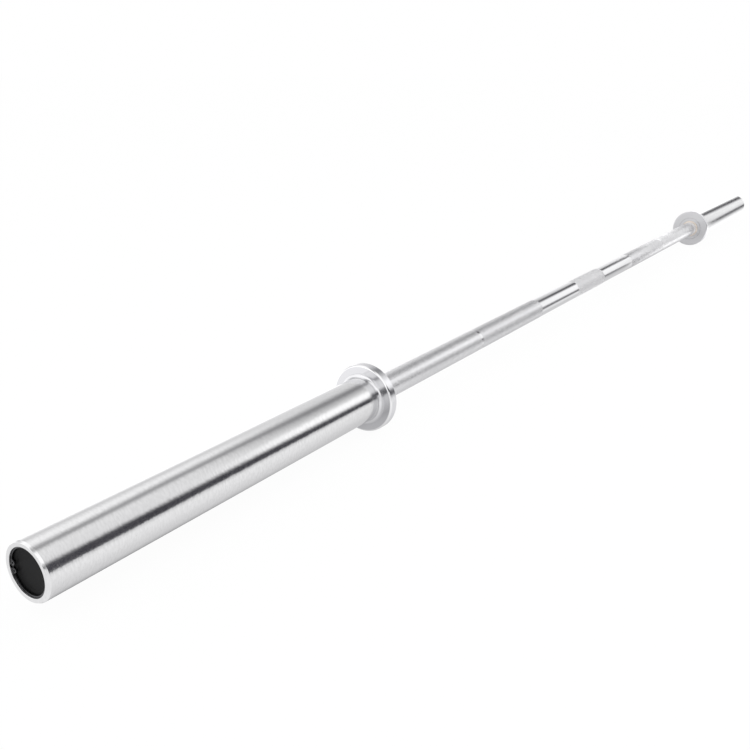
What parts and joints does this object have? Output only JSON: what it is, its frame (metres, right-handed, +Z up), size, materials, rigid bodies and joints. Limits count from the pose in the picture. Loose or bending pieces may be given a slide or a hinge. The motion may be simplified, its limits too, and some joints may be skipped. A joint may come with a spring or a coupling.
{
  "type": "powerlifting bar",
  "caption": "Long straight lifting bar: knurled steel shaft with smooth bands, ring marks and a centre knurl, and a turning plate sleeve with a stop collar on each end.",
  "frame": {"origin": "middle of the bar, on its axis", "axes": "+X along the bar to the right sleeve, +Z up, the picture is taken from the -X and -Y side"},
  "size_m": [2.2, 0.0762, 0.0762],
  "materials": {
    "shaft_steel": "satin chrome, knurled",
    "sleeve_chrome": "bright chrome with fine turning lines",
    "collar_chrome": "bright chrome",
    "bushing_bronze": "machined bronze",
    "cap_black": "matt black",
    "washer_steel": "ground",
    "ring_spring_steel": "phosphated spring steel"
  },
  "bodies": {
    "root": {"shaft": "shaft_steel", "left_thrust_washer": "washer_steel", "left_shim_washer": "washer_steel", "left_inner_snap_ring": "ring_spring_steel", "left_outer_snap_ring": "ring_spring_steel", "right_thrust_washer": "washer_steel", "right_shim_washer": "washer_steel", "right_inner_snap_ring": "ring_spring_steel", "right_outer_snap_ring": "ring_spring_steel"},
    "left_sleeve_assembly": {"left_sleeve": "sleeve_chrome", "left_stop_collar": "collar_chrome", "left_inner_bushing": "bushing_bronze", "left_outer_bushing": "bushing_bronze", "left_end_cap": "cap_black", "left_cap_circlip": "ring_spring_steel"},
    "right_sleeve_assembly": {"right_sleeve": "sleeve_chrome", "right_stop_collar": "collar_chrome", "right_inner_bushing": "bushing_bronze", "right_outer_bushing": "bushing_bronze", "right_end_cap": "cap_black", "right_cap_circlip": "ring_spring_steel"}
  },
  "joints": [
    {"name": "left_sleeve_spin", "type": "hinge", "parent": "root", "child": "left_sleeve_assembly", "pos_m": [-0.879, 0, 0], "axis": [1, 0, 0], "continuous": true},
    {"name": "right_sleeve_spin", "type": "hinge", "parent": "root", "child": "right_sleeve_assembly", "pos_m": [0.879, 0, 0], "axis": [1, 0, 0], "continuous": true}
  ]
}
